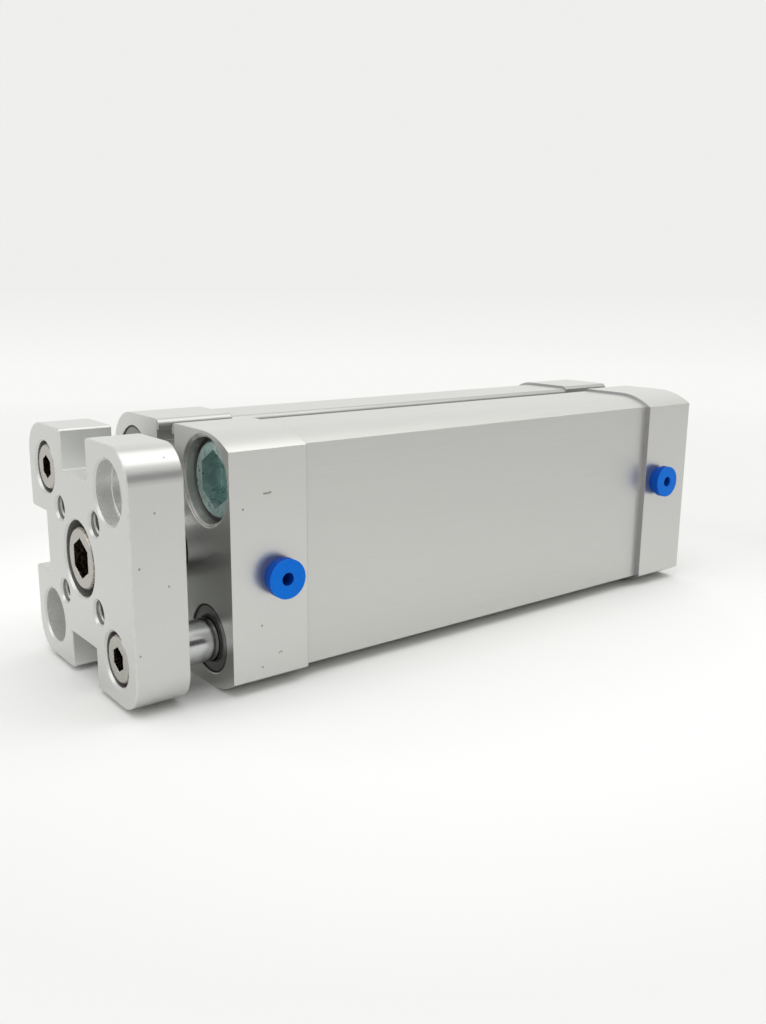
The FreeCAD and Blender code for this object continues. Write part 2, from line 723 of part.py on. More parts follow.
def make_yoke_plate():
    thickness = D.plate_thickness
    half = D.plate_half
    body = new_body("yoke_plate", PLATE_BACK)
    outline = sketch_across(body, "plate_outline")
    rectangle(outline, -half, half, -half, half)
    pad(body, "plate_pad", outline, thickness)
    corner_edges = [
        number
        for number, edge in enumerate(body.Tip.Shape.Edges, start=1)
        if edge.BoundBox.XLength > thickness.number / 2
    ]
    dress(body, "Fillet", "plate_corners", corner_edges, D.plate_radius)
    notch = sketch_across(body, "plate_notch")
    rectangle(notch, -D.notch_width / 2, D.notch_width / 2, half - D.notch_depth, half + BEYOND)
    notch_cut = pocket(body, "notch_cut", notch, thickness, forward=True)
    polar(body, "plate_notches", [notch_cut])
    notch_lips = mouth_edges(body.Tip.Shape, half.number, D.notch_width.number / 2)
    dress(body, "Fillet", "notch_mouths", notch_lips, D.notch_rounding)
    front_edges = [
        number
        for number, edge in enumerate(body.Tip.Shape.Edges, start=1)
        if edge.BoundBox.XMin > thickness.number - 1e-4
    ]
    dress(body, "Chamfer", "plate_edge", front_edges, D.fine_edge)

    guides = (UPPER_GUIDE, LOWER_GUIDE)
    drill(body, "rod_screw_hole", CENTRE, D.rod_screw_clearance, thickness)
    rod_bore_depth = D.screw_recess + D.rod_screw_head_length
    drill(body, "rod_screw_bore", CENTRE, D.rod_screw_bore, rod_bore_depth, thickness, False)
    drill(body, "rod_register", CENTRE, D.rod_diameter, D.register_depth)
    drill(body, "guide_screw_holes", guides, D.guide_screw_clearance, thickness)
    guide_bore_depth = D.screw_recess + D.guide_screw_head_length
    drill(body, "guide_screw_bores", guides, D.guide_screw_bore, guide_bore_depth, thickness, False)
    drill(body, "guide_registers", guides, D.guide_diameter, D.register_depth)
    drill(body, "lower_access", (LOWER_COLLAR,), D.access_diameter, thickness)
    upper = (UPPER_COLLAR,)
    drill(body, "stepped_through", upper, D.stepped_through, thickness)
    drill(body, "stepped_middle", upper, D.stepped_middle, D.stepped_middle_depth, thickness, False)
    drill(body, "stepped_mouth", upper, D.stepped_mouth, D.stepped_mouth_depth, thickness, False)
    quarter = D.yoke_pitch / 2
    square = [(quarter * across, quarter * up) for across in (-1, 1) for up in (-1, 1)]
    drill(body, "load_threads", square, D.yoke_core, thickness)
    mouths = (D.rod_screw_bore, D.guide_screw_bore, D.stepped_mouth, D.access_diameter, D.yoke_core)
    break_rims(body, "plate_rims", thickness, mouths, D.edge_break)


def make_yoke_screws():
    face = PLATE_FRONT - D.screw_recess
    rod_screw = socket_screw(
        "rod_bolt", face, -1, D.rod_screw_head, D.rod_screw_head_length, D.rod_screw_shank,
        D.rod_screw_length, D.rod_screw_socket, D.rod_screw_socket_depth, CENTRE[0],
    )
    node(rod_screw, "rod_screw")
    guide_screws = [
        socket_screw(
            f"guide_bolt_{i}", face, -1, D.guide_screw_head, D.guide_screw_head_length,
            D.guide_screw_shank, D.guide_screw_length, D.guide_screw_socket,
            D.guide_screw_socket_depth, at,
        )
        for i, at in enumerate((UPPER_GUIDE, LOWER_GUIDE))
    ]
    group("guide_rod_screws", guide_screws)


# ---------------------------------------------------------------- dust plugs

def make_port_plugs():
    face = D.cap_half + D.stop_gap
    for which, x, z in (
        ("front", D.front_port_place, D.front_port_height),
        ("rear", D.rear_port_place, D.rear_port_height),
    ):
        neck = cylinder(f"{which}_plug_neck", D.plug_neck, D.plug_neck_length, x, face, z, along_y=True)
        head_start = face + D.plug_neck_length
        head = cylinder(f"{which}_plug_head", D.plug_head, D.plug_head_length, x, head_start, z, along_y=True)
        tail = face - D.plug_shank_length
        shank = cylinder(f"{which}_plug_shank", D.plug_shank, D.plug_shank_length, x, tail, z, along_y=True)
        outer = head_start + D.plug_head_length
        hole_start = outer - D.plug_hole_depth
        hole = cylinder(f"{which}_plug_hole", D.plug_hole, D.plug_hole_depth, x, hole_start, z, along_y=True)
        plug = cut(f"{which}_plug", fused(f"{which}_plug_blank", [head, neck, shank]), [hole])
        node(plug, f"{which}_port_plug")


make_barrel()
make_bearing_cap()
make_end_cap()
make_collar_screws()
make_cap_seals()
make_bumpers()
make_bushes_and_wipers()
make_piston()
make_piston_rings()
make_piston_rod()
make_guide_rods()
make_yoke_plate()
make_yoke_screws()
make_port_plugs()
doc.recompute()

for thing in doc.Objects:
    if "Invalid" in thing.State or "Error" in thing.State:
        raise RuntimeError(f"{thing.Label}: {thing.State}")
for part in nodes:
    if part.Shape.isNull() or not part.Shape.isValid():
        raise RuntimeError(f"{part.Label}: its shape is null or not valid")

os.makedirs("parts", exist_ok=True)
for part in nodes:
    part.Shape.exportStep(os.path.join("parts", f"{part.Label}.step"))
print(f"{len(nodes)} parts written")
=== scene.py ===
import math

import bmesh
import bpy
from mathutils import Euler, Matrix, Vector


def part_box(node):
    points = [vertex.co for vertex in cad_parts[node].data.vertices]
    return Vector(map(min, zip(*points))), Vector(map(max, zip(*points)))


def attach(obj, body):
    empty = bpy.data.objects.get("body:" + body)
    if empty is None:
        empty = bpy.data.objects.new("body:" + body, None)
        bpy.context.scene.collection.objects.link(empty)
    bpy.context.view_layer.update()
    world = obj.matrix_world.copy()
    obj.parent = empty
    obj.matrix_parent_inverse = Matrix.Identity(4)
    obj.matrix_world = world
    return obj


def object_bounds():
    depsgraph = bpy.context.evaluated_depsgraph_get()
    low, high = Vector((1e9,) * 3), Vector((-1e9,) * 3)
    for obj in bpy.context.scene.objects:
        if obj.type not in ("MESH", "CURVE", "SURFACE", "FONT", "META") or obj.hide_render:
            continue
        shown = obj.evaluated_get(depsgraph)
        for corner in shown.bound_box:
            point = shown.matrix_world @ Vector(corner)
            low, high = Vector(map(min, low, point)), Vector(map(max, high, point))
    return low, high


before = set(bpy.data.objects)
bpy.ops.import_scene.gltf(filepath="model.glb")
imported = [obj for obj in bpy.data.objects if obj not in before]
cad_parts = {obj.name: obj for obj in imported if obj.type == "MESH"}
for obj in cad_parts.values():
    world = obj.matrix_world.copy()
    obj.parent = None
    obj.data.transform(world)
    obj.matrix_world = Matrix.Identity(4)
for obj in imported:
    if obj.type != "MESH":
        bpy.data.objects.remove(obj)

CAD_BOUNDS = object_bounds()
MM = 0.001

# ---------------------------------------------------------------------------
# Places, read from the frame
# ---------------------------------------------------------------------------

CAP_LOW, CAP_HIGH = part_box("bearing_cap")
PLATE_LOW, PLATE_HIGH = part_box("yoke_plate")
REAR_LOW, REAR_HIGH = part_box("end_cap")

# The part's middle and the floor's height, in metres.
CENTRE = ((CAD_BOUNDS[0][0] + CAD_BOUNDS[1][0]) / 2, 0, 0)
FLOOR_HEIGHT = CAP_LOW.z

# The same places in millimetres, in which finishes and pieces are measured. Each FACE looks outwards.
PLATE_FACE = PLATE_HIGH.x / MM
PLATE_BACK = PLATE_LOW.x / MM
PLATE_SIDE = PLATE_HIGH.y / MM
CAP_FACE = CAP_HIGH.x / MM
CAP_BACK = CAP_LOW.x / MM
CAP_SIDE = CAP_HIGH.y / MM
CAP_TOP = CAP_HIGH.z / MM
BARREL_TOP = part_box("barrel")[1].z / MM
PLUG_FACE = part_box("front_port_plug")[1].y / MM

# Halfway between the two caps' outward faces, and halfway between their faces on the barrel.
BODY_MIDDLE = (CAP_FACE + REAR_LOW.x / MM) / 2
JOINTS_MIDDLE = (CAP_BACK + REAR_HIGH.x / MM) / 2

# Sizes that the solids have, in millimetres. A DEPTH is measured from the outward face, but for the socket,
# which is measured from the screw's own face.
CORNER = 11.0
COLLAR_HEAD_DEPTH = 1.5
COLLAR_HEAD_RADIUS = 5.25
COLLAR_FLANGE_DEPTH = 2.3
COLLAR_SOCKET_DEPTH = 3.0
COLLAR_CORE_RADIUS = 2.1
COLLAR_BORE_RADIUS = 5.9
COLLAR_MOUTH = 0.45
PLATE_SCREW_DEPTH = 0.3
NOTCH_HALF_WIDTH = 4.5
NOTCH_FLOOR = 11.5
SLOT_HALF_WIDTH = 2.7
SLOT_FLOOR = 14.6
LOAD_HOLE_PLACE = 6.0
LOAD_HOLE_RADIUS = 1.65
ACCESS_HOLE_RADIUS = 4.0
GUIDE_ROD_RADIUS = 3.0
GUIDE_WIPER_RADIUS = 4.8

# The two larger holes through the plate are lined from just behind its face to just before its back.
LINING_START = 0.25
LINING_END = 7.2

# The stepped hole from its mouth inwards: where each part starts and ends behind the face, and its radius.
STEPPED_HOLE = ((LINING_START, 2.4, 4.2), (2.4, 3.4, 3.9), (3.4, LINING_END, 3.6))

# Where the collar screws and the guide rods are, as (y, z).
FRONT_COLLARS = ((CORNER, CORNER), (-CORNER, -CORNER))
GUIDES = ((-CORNER, CORNER), (CORNER, -CORNER))
REAR_COLLARS = FRONT_COLLARS + GUIDES

# ---------------------------------------------------------------------------
# Materials: what they are made of
# ---------------------------------------------------------------------------


def new_material(name, metallic, roughness):
    """A node material with one Principled shader, and its plain values set on the shader's own sockets."""
    material = bpy.data.materials.new(name)
    material.use_nodes = True
    shader = material.node_tree.nodes["Principled BSDF"]
    shader.inputs["Metallic"].default_value = metallic
    shader.inputs["Roughness"].default_value = roughness
    return material, material.node_tree, shader


def add(tree, kind, **settings):
    """A new node of a kind, with its settings."""
    node = tree.nodes.new(kind)
    for name, value in settings.items():
        setattr(node, name, value)
    return node


def noise(tree, per_mm, stretch=(1, 1, 1), detail=3.0):
    """A noise field fixed to the piece: about per_mm lumps in a millimetre along each unstretched axis."""
    place = add(tree, "ShaderNodeTexCoord")
    scaled = add(tree, "ShaderNodeMapping")
    scaled.inputs["Scale"].default_value = [per_mm / MM * s for s in stretch]
    field = add(tree, "ShaderNodeTexNoise")
    field.inputs["Scale"].default_value = 1.0
    field.inputs["Detail"].default_value = detail
    field.inputs["Roughness"].default_value = 0.55
    tree.links.new(place.outputs["Object"], scaled.inputs["Vector"])
    tree.links.new(scaled.outputs["Vector"], field.inputs["Vector"])
    return field.outputs["Fac"]


def remap(tree, field, low, high, to_low=0.0, to_high=1.0):
    """Takes a field from to_low, where it is low, to to_high, where it is high, and no further."""
    node = add(tree, "ShaderNodeMapRange", clamp=True)
    node.inputs["From Min"].default_value = low
    node.inputs["From Max"].default_value = high
    node.inputs["To Min"].default_value = to_low
    node.inputs["To Max"].default_value = to_high
    tree.links.new(field, node.inputs["Value"])
    return node.outputs["Result"]


def product(tree, first, second):
    """Two fields multiplied."""
    node = add(tree, "ShaderNodeMath", operation="MULTIPLY")
    tree.links.new(first, node.inputs[0])
    tree.links.new(second, node.inputs[1])
    return node.outputs["Value"]


def mixed(tree, factor, first, second):
    """Colour first where factor is 0 and second where it is 1. Either is a colour or a socket."""
    node = add(tree, "ShaderNodeMix", data_type="RGBA")
    tree.links.new(factor, node.inputs["Factor"])
    colour_inputs = [s for s in node.inputs if s.type == "RGBA"]
    for socket, value in zip(colour_inputs, (first, second)):
        if isinstance(value, bpy.types.NodeSocket):
            tree.links.new(value, socket)
        else:
            socket.default_value = (*value, 1.0)
    return [s for s in node.outputs if s.type == "RGBA"][0]


def rounded_normal(tree, radius):
    """The surface's normal, blended over its edges within a radius."""
    bevel = add(tree, "ShaderNodeBevel", samples=6)
    bevel.inputs["Radius"].default_value = radius
    return bevel.outputs["Normal"]


def edges(tree, normal, start=0.995, full=0.86):
    """1 along the piece's edges and 0 on its faces."""
    surface = add(tree, "ShaderNodeNewGeometry")
    turned = add(tree, "ShaderNodeVectorMath", operation="DOT_PRODUCT")
    tree.links.new(normal, turned.inputs[0])
    tree.links.new(surface.outputs["Normal"], turned.inputs[1])
    return remap(tree, turned.outputs["Value"], start, full)


def bump(tree, height, depth, normal):
    """A normal, tilted as by a relief of a given depth in metres that follows the height field."""
    node = add(tree, "ShaderNodeBump")
    node.inputs["Strength"].default_value = 1.0
    node.inputs["Distance"].default_value = depth
    tree.links.new(height, node.inputs["Height"])
    tree.links.new(normal, node.inputs["Normal"])
    return node.outputs["Normal"]


def metal(name, dark, light, worn, metallic=1.0, roughness=(0.3, 0.45), grain=6.0,
          stretch=(1, 1, 1), grain_depth=0.004, edge_radius=0.1, patches=0.12):
    """A metal with grain, slow changes of tone, and a worn line along its edges."""
    material, tree, shader = new_material(name, metallic, roughness[0])
    fine = noise(tree, grain, stretch)
    slow = remap(tree, noise(tree, patches, detail=2.0), 0.3, 0.7)
    soft = rounded_normal(tree, edge_radius * MM)
    wear = product(tree, edges(tree, soft), remap(tree, noise(tree, 1.2), 0.35, 0.6))
    tone = mixed(tree, remap(tree, fine, 0.3, 0.7), dark, light)
    tone = mixed(tree, slow, tone, [0.5 * (a + b) for a, b in zip(dark, light)])
    tree.links.new(mixed(tree, wear, tone, worn), shader.inputs["Base Color"])
    tree.links.new(remap(tree, fine, 0.3, 0.7, *roughness), shader.inputs["Roughness"])
    tree.links.new(bump(tree, fine, grain_depth * MM, soft), shader.inputs["Normal"])
    return material


def soft_matter(name, dark, light, roughness=(0.5, 0.7), grain=4.0, grain_depth=0.01, edge_radius=0.1,
                gloss=0.5):
    """Rubber or moulded plastic, with a fine grain and slightly paler edges."""
    material, tree, shader = new_material(name, 0.0, roughness[0])
    shader.inputs["Specular IOR Level"].default_value = gloss
    fine = noise(tree, grain)
    soft = rounded_normal(tree, edge_radius * MM)
    tone = mixed(tree, remap(tree, fine, 0.3, 0.7), dark, light)
    pale = [min(1.0, 1.25 * c + 0.02) for c in light]
    tree.links.new(mixed(tree, edges(tree, soft), tone, pale), shader.inputs["Base Color"])
    tree.links.new(remap(tree, fine, 0.3, 0.7, *roughness), shader.inputs["Roughness"])
    tree.links.new(bump(tree, fine, grain_depth * MM, soft), shader.inputs["Normal"])
    return material


# ---------------------------------------------------------------------------
# Materials: where a second colour lies
# ---------------------------------------------------------------------------


def coordinate(tree, axis, origin=0.0):
    """How far a point lies from origin along one axis of the shared frame, in millimetres."""
    place = add(tree, "ShaderNodeTexCoord")
    parts = add(tree, "ShaderNodeSeparateXYZ")
    tree.links.new(place.outputs["Object"], parts.inputs["Vector"])
    offset = add(tree, "ShaderNodeMath", operation="MULTIPLY_ADD")
    tree.links.new(parts.outputs["XYZ".index(axis)], offset.inputs[0])
    offset.inputs[1].default_value = 1 / MM
    offset.inputs[2].default_value = -origin
    return offset.outputs["Value"]


def size_of(tree, value):
    """A field without its sign."""
    node = add(tree, "ShaderNodeMath", operation="ABSOLUTE")
    tree.links.new(value, node.inputs[0])
    return node.outputs["Value"]


def lay_over(material, colour, mask_of, **settings):
    """Lays a colour over the material's own, where the mask is 1."""
    tree = material.node_tree
    socket = tree.nodes["Principled BSDF"].inputs["Base Color"]
    under = socket.links[0].from_socket
    tree.links.new(mixed(tree, mask_of(tree, **settings), under, colour), socket)


def collar_socket_shade(tree):
    """Painted shade, mottled, in the sockets and down the sides of the collar screws, at either end of the
    body.
    """
    face = CAP_FACE - BODY_MIDDLE - COLLAR_HEAD_DEPTH
    sunk = remap(tree, size_of(tree, coordinate(tree, "X", BODY_MIDDLE)), face - 0.1, face - 0.9)
    return product(tree, sunk, remap(tree, noise(tree, 0.7), 0.4, 0.6))


def sunk_from_plate(tree):
    """0 on the outward faces of the plate's screws, and 1 in their sockets and down their sides."""
    return remap(tree, coordinate(tree, "X", PLATE_FACE - PLATE_SCREW_DEPTH), -0.03, -0.25)


def socket_shade_and_stains(tree):
    """Painted shade and tarnish in blotches, in the sockets and down the sides of the plate's screws."""
    return product(tree, sunk_from_plate(tree), remap(tree, noise(tree, 1.4), 0.45, 0.55))


def shaded_plug_sides(tree):
    """0 on the plugs' outward faces, and 1 on their sides and necks."""
    return remap(tree, coordinate(tree, "Y", PLUG_FACE), -0.12, -0.25)


def lit_notch_walls(tree):
    """1 on the milled walls of the plate's upper notch and of its lower one, and 0 elsewhere."""
    across, up = (size_of(tree, coordinate(tree, axis)) for axis in "YZ")
    between = remap(tree, across, NOTCH_HALF_WIDTH + 0.06, NOTCH_HALF_WIDTH + 0.02)
    over_floor = remap(tree, up, NOTCH_FLOOR - 0.1, NOTCH_FLOOR - 0.05)
    behind_face = remap(tree, coordinate(tree, "X", PLATE_FACE), -0.1, -0.2)
    return product(tree, product(tree, between, over_floor), behind_face)


def in_slot(tree, across, outwards, half_height):
    """1 on one slot's floor and walls, up to just under the body's face, and 0 elsewhere."""
    between = remap(tree, size_of(tree, across), SLOT_HALF_WIDTH + 0.1, SLOT_HALF_WIDTH + 0.05)
    under_face = remap(tree, outwards, half_height - 0.02, half_height - 0.08)
    below_floor = SLOT_FLOOR - 2.6
    on_this_side = remap(tree, outwards, below_floor - 0.1, below_floor)
    return product(tree, product(tree, between, under_face), on_this_side)


def slot_shade(tree, half_height):
    """1 on the walls inside the sensor slots on the top, the bottom and the far side, and 0 elsewhere."""
    y, z = (coordinate(tree, axis) for axis in "YZ")
    far = add(tree, "ShaderNodeMath", operation="MULTIPLY")
    far.inputs[1].default_value = -1.0
    tree.links.new(y, far.inputs[0])
    either = add(tree, "ShaderNodeMath", operation="MAXIMUM")
    tree.links.new(in_slot(tree, y, size_of(tree, z), half_height), either.inputs[0])
    tree.links.new(in_slot(tree, z, far.outputs["Value"], half_height), either.inputs[1])
    return either.outputs["Value"]


def joint_shade(tree):
    """1 on the caps' faces that meet the barrel, where painted shade goes, and 0 elsewhere."""
    face = CAP_BACK - JOINTS_MIDDLE
    return remap(tree, size_of(tree, coordinate(tree, "X", JOINTS_MIDDLE)), face + 0.06, face + 0.02)


def near_points(tree, points, radius):
    """1 within a small, ragged distance of any of the points, given in millimetres."""
    place = add(tree, "ShaderNodeTexCoord")
    nearest = None
    for point in points:
        reach = add(tree, "ShaderNodeVectorMath", operation="DISTANCE")
        tree.links.new(place.outputs["Object"], reach.inputs[0])
        reach.inputs[1].default_value = [c * MM for c in point]
        if nearest is None:
            nearest = reach.outputs["Value"]
            continue
        least = add(tree, "ShaderNodeMath", operation="MINIMUM")
        tree.links.new(nearest, least.inputs[0])
        tree.links.new(reach.outputs["Value"], least.inputs[1])
        nearest = least.outputs["Value"]
    ragged = add(tree, "ShaderNodeMath", operation="MULTIPLY_ADD")
    tree.links.new(noise(tree, 5.0), ragged.inputs[0])
    ragged.inputs[1].default_value = radius * MM
    tree.links.new(nearest, ragged.inputs[2])
    return remap(tree, ragged.outputs["Value"], 1.25 * radius * MM, 0.75 * radius * MM)


def specks(tree, per_mm, radius, share):
    """1 on small round specks: a share of the cells of a field with per_mm cells in a millimetre has one."""
    place = add(tree, "ShaderNodeTexCoord")
    cells = add(tree, "ShaderNodeTexVoronoi")
    cells.inputs["Scale"].default_value = per_mm / MM
    tree.links.new(place.outputs["Object"], cells.inputs["Vector"])
    chance = add(tree, "ShaderNodeSeparateColor")
    tree.links.new(cells.outputs["Color"], chance.inputs["Color"])
    chosen = remap(tree, chance.outputs["Red"], share, share - 0.001)
    spot = remap(tree, cells.outputs["Distance"], radius * per_mm, 0.6 * radius * per_mm)
    return product(tree, chosen, spot)


# ---------------------------------------------------------------------------
# Materials: one for each finish
# ---------------------------------------------------------------------------

# Grain drawn out along the piece's axis, and rings turned about it.
EXTRUDED = (0.04, 1, 1)
TURNED = (1, 0.08, 0.08)

# Small marks that handling left on the port side, in millimetres: how far behind the face and how high each
# is. The last one is on the plate's rounded corner, and is given as a point.
PLATE_MARKS = ((3.4, 9.1), (1.1, 2.4), (4.9, -0.5), (0.7, -8.8))
CAP_MARKS = ((6.1, 9.9), (5.85, 9.85), (5.6, 9.8), (5.35, 9.8), (5.1, 9.85),
             (1.9, 8.1), (4.4, -8.2), (7.4, -12.5), (7.1, -12.6), (4.4, -14.1))
CORNER_MARK = (PLATE_FACE - 5.5, PLATE_SIDE - 1.2, 15.6)
MARK_RADIUS = 0.27
MARK_COLOUR = (0.24, 0.24, 0.23)


def extruded_anodised():
    """The barrel: grain along the extrusion, painted shade in the slots, and a few specks."""
    finish = metal("extruded_anodised", (0.585, 0.587, 0.565), (0.63, 0.632, 0.61), (0.82, 0.82, 0.80),
                   metallic=0.88, roughness=(0.34, 0.44), grain=3.0, stretch=EXTRUDED, grain_depth=0.0015)
    # Painted shade on the walls inside the slots.
    lay_over(finish, (0.44, 0.44, 0.43), slot_shade, half_height=BARREL_TOP)
    lay_over(finish, (0.36, 0.36, 0.35), specks, per_mm=0.16, radius=0.22, share=0.05)
    return finish


def machined_anodised():
    """The caps: fine even grain, painted shade in the slots and on the joints with the barrel, specks and
    small marks.
    """
    finish = metal("machined_anodised", (0.60, 0.603, 0.58), (0.64, 0.643, 0.62), (0.84, 0.84, 0.82),
                   metallic=0.93, roughness=(0.31, 0.39), grain=5.0, grain_depth=0.0015)
    # Painted shade on the walls inside the slots.
    lay_over(finish, (0.46, 0.46, 0.45), slot_shade, half_height=CAP_TOP)
    # Painted shade on the caps' step faces at the joints with the barrel.
    lay_over(finish, (0.41, 0.40, 0.41), joint_shade)
    lay_over(finish, (0.38, 0.38, 0.37), specks, per_mm=0.2, radius=0.18, share=0.05)
    marks = [(CAP_FACE - back, CAP_SIDE, up) for back, up in CAP_MARKS]
    lay_over(finish, MARK_COLOUR, near_points, points=marks, radius=MARK_RADIUS)
    return finish


def blasted_anodised():
    """The yoke plate: fine blasted grain, painted light on the milled notch walls, and small marks."""
    finish = metal("blasted_anodised", (0.585, 0.59, 0.572), (0.62, 0.625, 0.607), (0.88, 0.88, 0.86),
                   metallic=0.76, roughness=(0.29, 0.35), grain=6.0, grain_depth=0.0014, edge_radius=0.16)
    # Painted light: the notch walls are paler than the plate.
    lay_over(finish, (0.81, 0.815, 0.80), lit_notch_walls)
    marks = [CORNER_MARK] + [(PLATE_FACE - back, PLATE_SIDE, up) for back, up in PLATE_MARKS]
    lay_over(finish, MARK_COLOUR, near_points, points=marks, radius=MARK_RADIUS)
    return finish


def zinc_plate():
    """The collar screws: mottled blue-green plating, with painted shade in the sockets."""
    finish = metal("zinc_plate", (0.22, 0.36, 0.34), (0.58, 0.74, 0.70), (0.9, 0.95, 0.92),
                   metallic=0.6, roughness=(0.22, 0.42), grain=1.1, grain_depth=0.02, patches=0.5)
    # Painted shade: the plating is darkened in the sockets and down the screws' sides.
    lay_over(finish, (0.28, 0.44, 0.425), collar_socket_shade)
    return finish


def nickel_plate():
    """The plate's screws: warm plating, with painted shade and tarnish in brown-black on the sockets and
    sides.
    """
    finish = metal("nickel_plate", (0.37, 0.36, 0.325), (0.49, 0.475, 0.44), (0.85, 0.83, 0.79),
                   roughness=(0.2, 0.34), grain=3.0)
    # Painted shade with tarnish: brown in the sockets and down the screws' sides, and near black in
    # blotches.
    lay_over(finish, (0.30, 0.25, 0.205), sunk_from_plate)
    lay_over(finish, (0.08, 0.06, 0.045), socket_shade_and_stains)
    return finish


def ground_steel():
    """The rods."""
    return metal("ground_steel", (0.48, 0.49, 0.49), (0.56, 0.565, 0.57), (0.8, 0.8, 0.8),
                 roughness=(0.15, 0.22), grain=9.0, stretch=TURNED, grain_depth=0.0008)


def turned_aluminium():
    """The piston."""
    return metal("turned_aluminium", (0.62, 0.62, 0.61), (0.72, 0.72, 0.71), (0.8, 0.8, 0.8),
                 grain=8.0, stretch=TURNED)


def turned_bore():
    """The walls of the plate's access holes."""
    return metal("turned_bore", (0.70, 0.70, 0.685), (0.78, 0.78, 0.765), (0.97, 0.97, 0.96),
                 metallic=0.55, roughness=(0.2, 0.28), grain=5.0, grain_depth=0.001, edge_radius=0.06)


def turned_counterbore():
    """The walls of the collar screws' bores."""
    return metal("turned_counterbore", (0.46, 0.445, 0.425), (0.58, 0.565, 0.545), (0.95, 0.95, 0.93),
                 metallic=0.7, roughness=(0.15, 0.24), grain=4.0, grain_depth=0.001, edge_radius=0.06)


def cut_thread():
    """The threads in the plate."""
    return metal("cut_thread", (0.34, 0.34, 0.33), (0.58, 0.58, 0.57), (0.9, 0.9, 0.89),
                 metallic=0.7, roughness=(0.22, 0.34), grain=5.0, edge_radius=0.03)


def shade_ring_black():
    """The dark rings round the collar screws' heads: painted shade for the gap there."""
    return metal("shade_ring_black", (0.035, 0.035, 0.035), (0.07, 0.068, 0.066), (0.16, 0.16, 0.155),
                 metallic=0.6, roughness=(0.4, 0.55), grain=4.0, edge_radius=0.04)


def sintered_bronze():
    """The bushes."""
    return metal("sintered_bronze", (0.34, 0.25, 0.14), (0.5, 0.38, 0.23), (0.6, 0.5, 0.34),
                 roughness=(0.4, 0.55))


def wiper_case():
    """The guide wipers' metal cases."""
    return metal("wiper_case", (0.20, 0.20, 0.20), (0.30, 0.30, 0.295), (0.55, 0.55, 0.54),
                 roughness=(0.3, 0.45), grain=5.0)


def seal_rubber():
    """The seals, the bumpers and the rod wiper."""
    return soft_matter("seal_rubber", (0.018, 0.018, 0.02), (0.04, 0.04, 0.043))


def lip_rubber():
    """The lips of the guide wipers and the rings that hold them."""
    return soft_matter("lip_rubber", (0.012, 0.012, 0.013), (0.03, 0.03, 0.032), edge_radius=0.05)


def magnet_compound():
    """The piston's magnet."""
    return soft_matter("magnet_compound", (0.06, 0.06, 0.065), (0.12, 0.12, 0.125))


def bearing_plastic():
    """The piston's wear ring."""
    return soft_matter("bearing_plastic", (0.4, 0.36, 0.28), (0.5, 0.45, 0.35))


def plug_plastic():
    """The dust plugs: blue moulded plastic, with painted shade on the sides and necks."""
    finish = soft_matter("plug_plastic", (0.0, 0.15, 0.68), (0.0, 0.17, 0.74), roughness=(0.42, 0.52),
                         grain=2.0, gloss=0.12)
    # Painted shade: deep blue on the plugs' sides and necks.
    lay_over(finish, (0.0, 0.06, 0.38), shaded_plug_sides)
    return finish


def dress(finish, *names):
    """Gives CAD nodes their finish."""
    for name in names:
        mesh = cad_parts[name].data
        mesh.materials.clear()
        mesh.materials.append(finish)


# ---------------------------------------------------------------------------
# Pieces: turned walls, threads and wiper lips
# ---------------------------------------------------------------------------

# How many points a full turn has.
RING_SIDES = 96
THREAD_SIDES = 32

# Half of a thread ridge's width at its foot and at its top, as shares of the pitch, and its height at
# either end, as a share of its full height.
FOOT_SHARE = 0.42
TOP_SHARE = 0.07
END_SHARE = 0.1

# How far faces that would otherwise coincide are kept apart, in millimetres.
APART = 0.02

# Threads, in millimetres: the pitch, and how far the ridge stands out from its hole's wall. A load thread
# starts and ends this far inside the plate's two faces. A core thread starts this far past its socket.
LOAD_THREAD_PITCH = 0.7
LOAD_THREAD_HEIGHT = 0.19
LOAD_THREAD_START = 0.6
LOAD_THREAD_END = 0.5
CORE_THREAD_PITCH = 0.8
CORE_THREAD_HEIGHT = 0.2
CORE_THREAD_START = 0.4
CORE_THREAD_LENGTH = 9.0

# Outlines that are turned round the guide rods, in millimetres: how far behind the cap's face each point is,
# and how far outside the rod (the lip) or inside the wiper's rim (the holder).
LIP = ((1.4, 0.14), (0.5, 0.16), (0.22, 0.04), (0.06, 0.1),
       (-0.02, 0.22), (0.05, 0.36), (0.3, 0.42), (1.4, 0.42))
HOLDER = ((0.26, 0.24), (0.1, 0.2), (0.06, 0.1), (0.1, 0.0), (0.26, 0.0))


def piece(name, shape, body, finish):
    """A bmesh in millimetres, made into a piece that rides on a body."""
    bmesh.ops.scale(shape, vec=(MM, MM, MM), verts=shape.verts)
    bmesh.ops.recalc_face_normals(shape, faces=shape.faces)
    mesh = bpy.data.meshes.new(name)
    shape.to_mesh(mesh)
    shape.free()
    mesh.materials.append(finish)
    obj = bpy.data.objects.new(name, mesh)
    bpy.context.scene.collection.objects.link(obj)
    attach(obj, body)


def turn(shape, outline, y, z):
    """Turns a closed outline of (x, radius) points about the line through y and z along X."""
    rings = []
    for x, radius in outline:
        ring = []
        for side in range(RING_SIDES):
            angle = 2 * math.pi * side / RING_SIDES
            ring.append(shape.verts.new((x, y + radius * math.cos(angle), z + radius * math.sin(angle))))
        rings.append(ring)
    for first, second in zip(rings, rings[1:] + rings[:1]):
        for side in range(RING_SIDES):
            after = (side + 1) % RING_SIDES
            shape.faces.new((first[side], first[after], second[after], second[side]))


